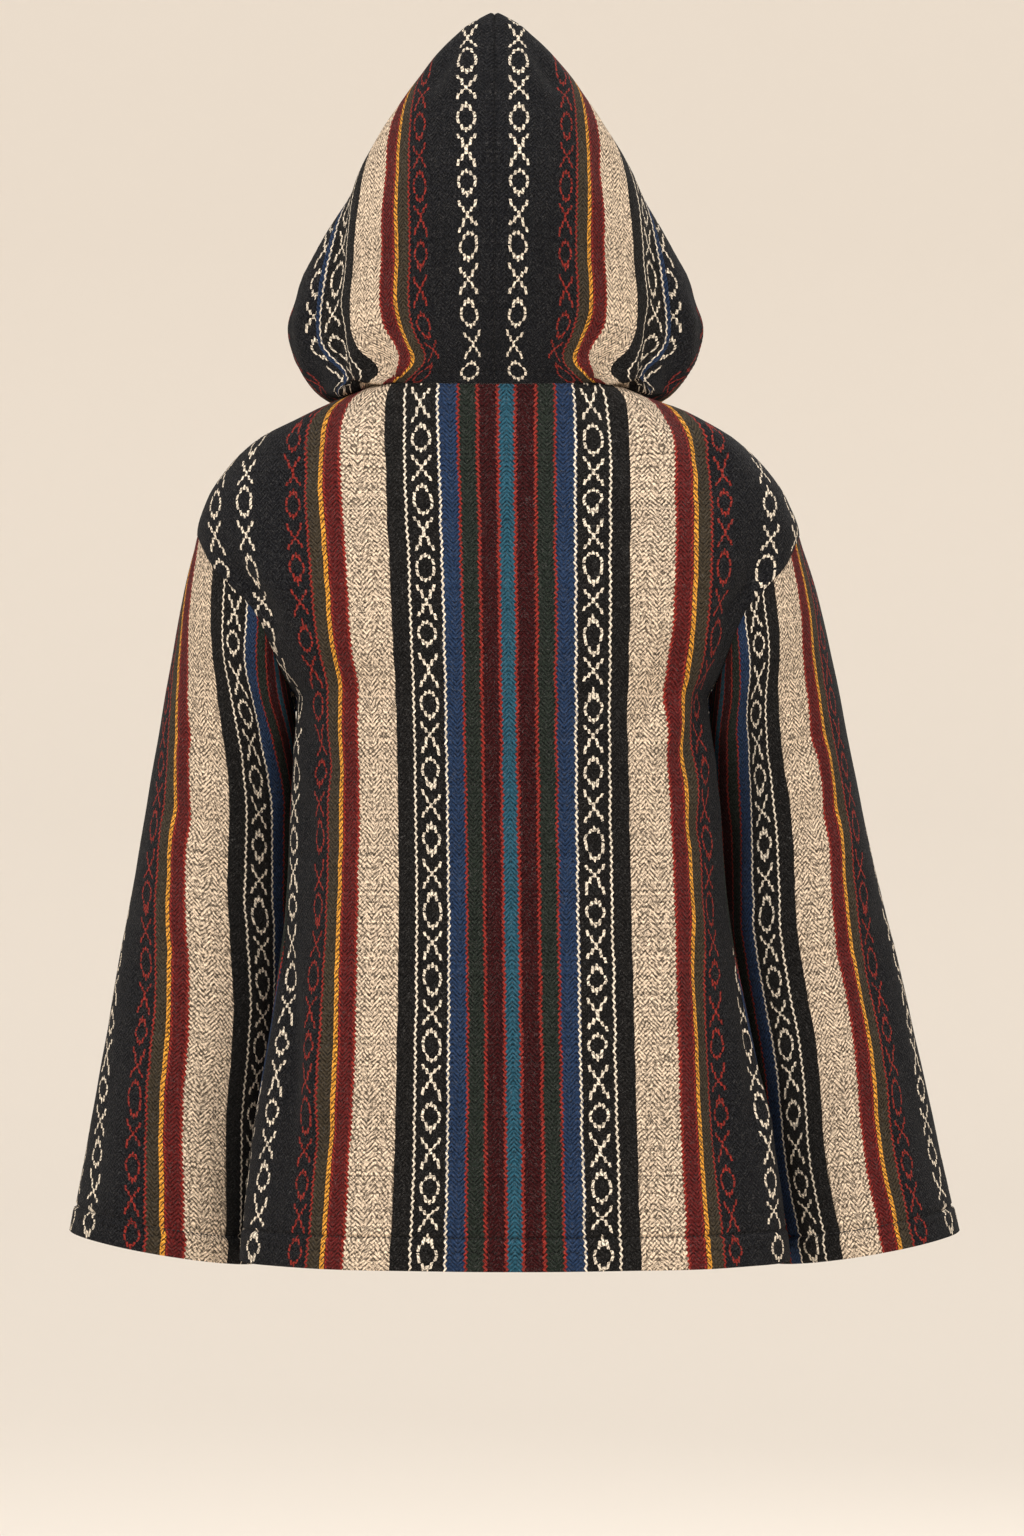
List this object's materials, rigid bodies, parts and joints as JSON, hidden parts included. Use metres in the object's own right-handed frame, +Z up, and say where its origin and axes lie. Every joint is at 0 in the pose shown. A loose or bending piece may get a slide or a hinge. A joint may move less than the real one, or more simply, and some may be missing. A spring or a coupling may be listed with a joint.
{
  "type": "hooded jacket",
  "caption": "Hip-length hooded jacket of heavy striped blanket cloth, zipped up with its pointed hood raised, hollow and shaped as it hangs when worn.",
  "frame": {"origin": "middle of the neck, level with the back neck seam, where the wearer's shoulders and neck hold the jacket up", "axes": "+Z up, -Y towards the front with the zip, +X towards the wearer's left"},
  "size_m": [0.6739, 0.264, 0.939],
  "materials": {
    "cloth": "thick soft blanket weave with lengthwise stripes and small woven motifs",
    "zip_tape": "plain woven tape",
    "zip_metal": "dull antique metal"
  },
  "bodies": {
    "jacket": {"back": "cloth", "front_left": "cloth", "front_right": "cloth", "sleeve_left": "cloth", "sleeve_right": "cloth", "hood_left": "cloth", "hood_right": "cloth", "zip_tape_left": "zip_tape", "zip_tape_right": "zip_tape", "zip_chain": "zip_metal", "zip_slider": "zip_metal"},
    "pull": {"zip_pull": "zip_metal"}
  },
  "joints": [
    {"name": "pull_swing", "type": "hinge", "parent": "jacket", "child": "pull", "pos_m": [-0.00201, -0.09483, -0.07758], "axis": [-1, 0, 0], "range_deg": [0, 150]}
  ]
}
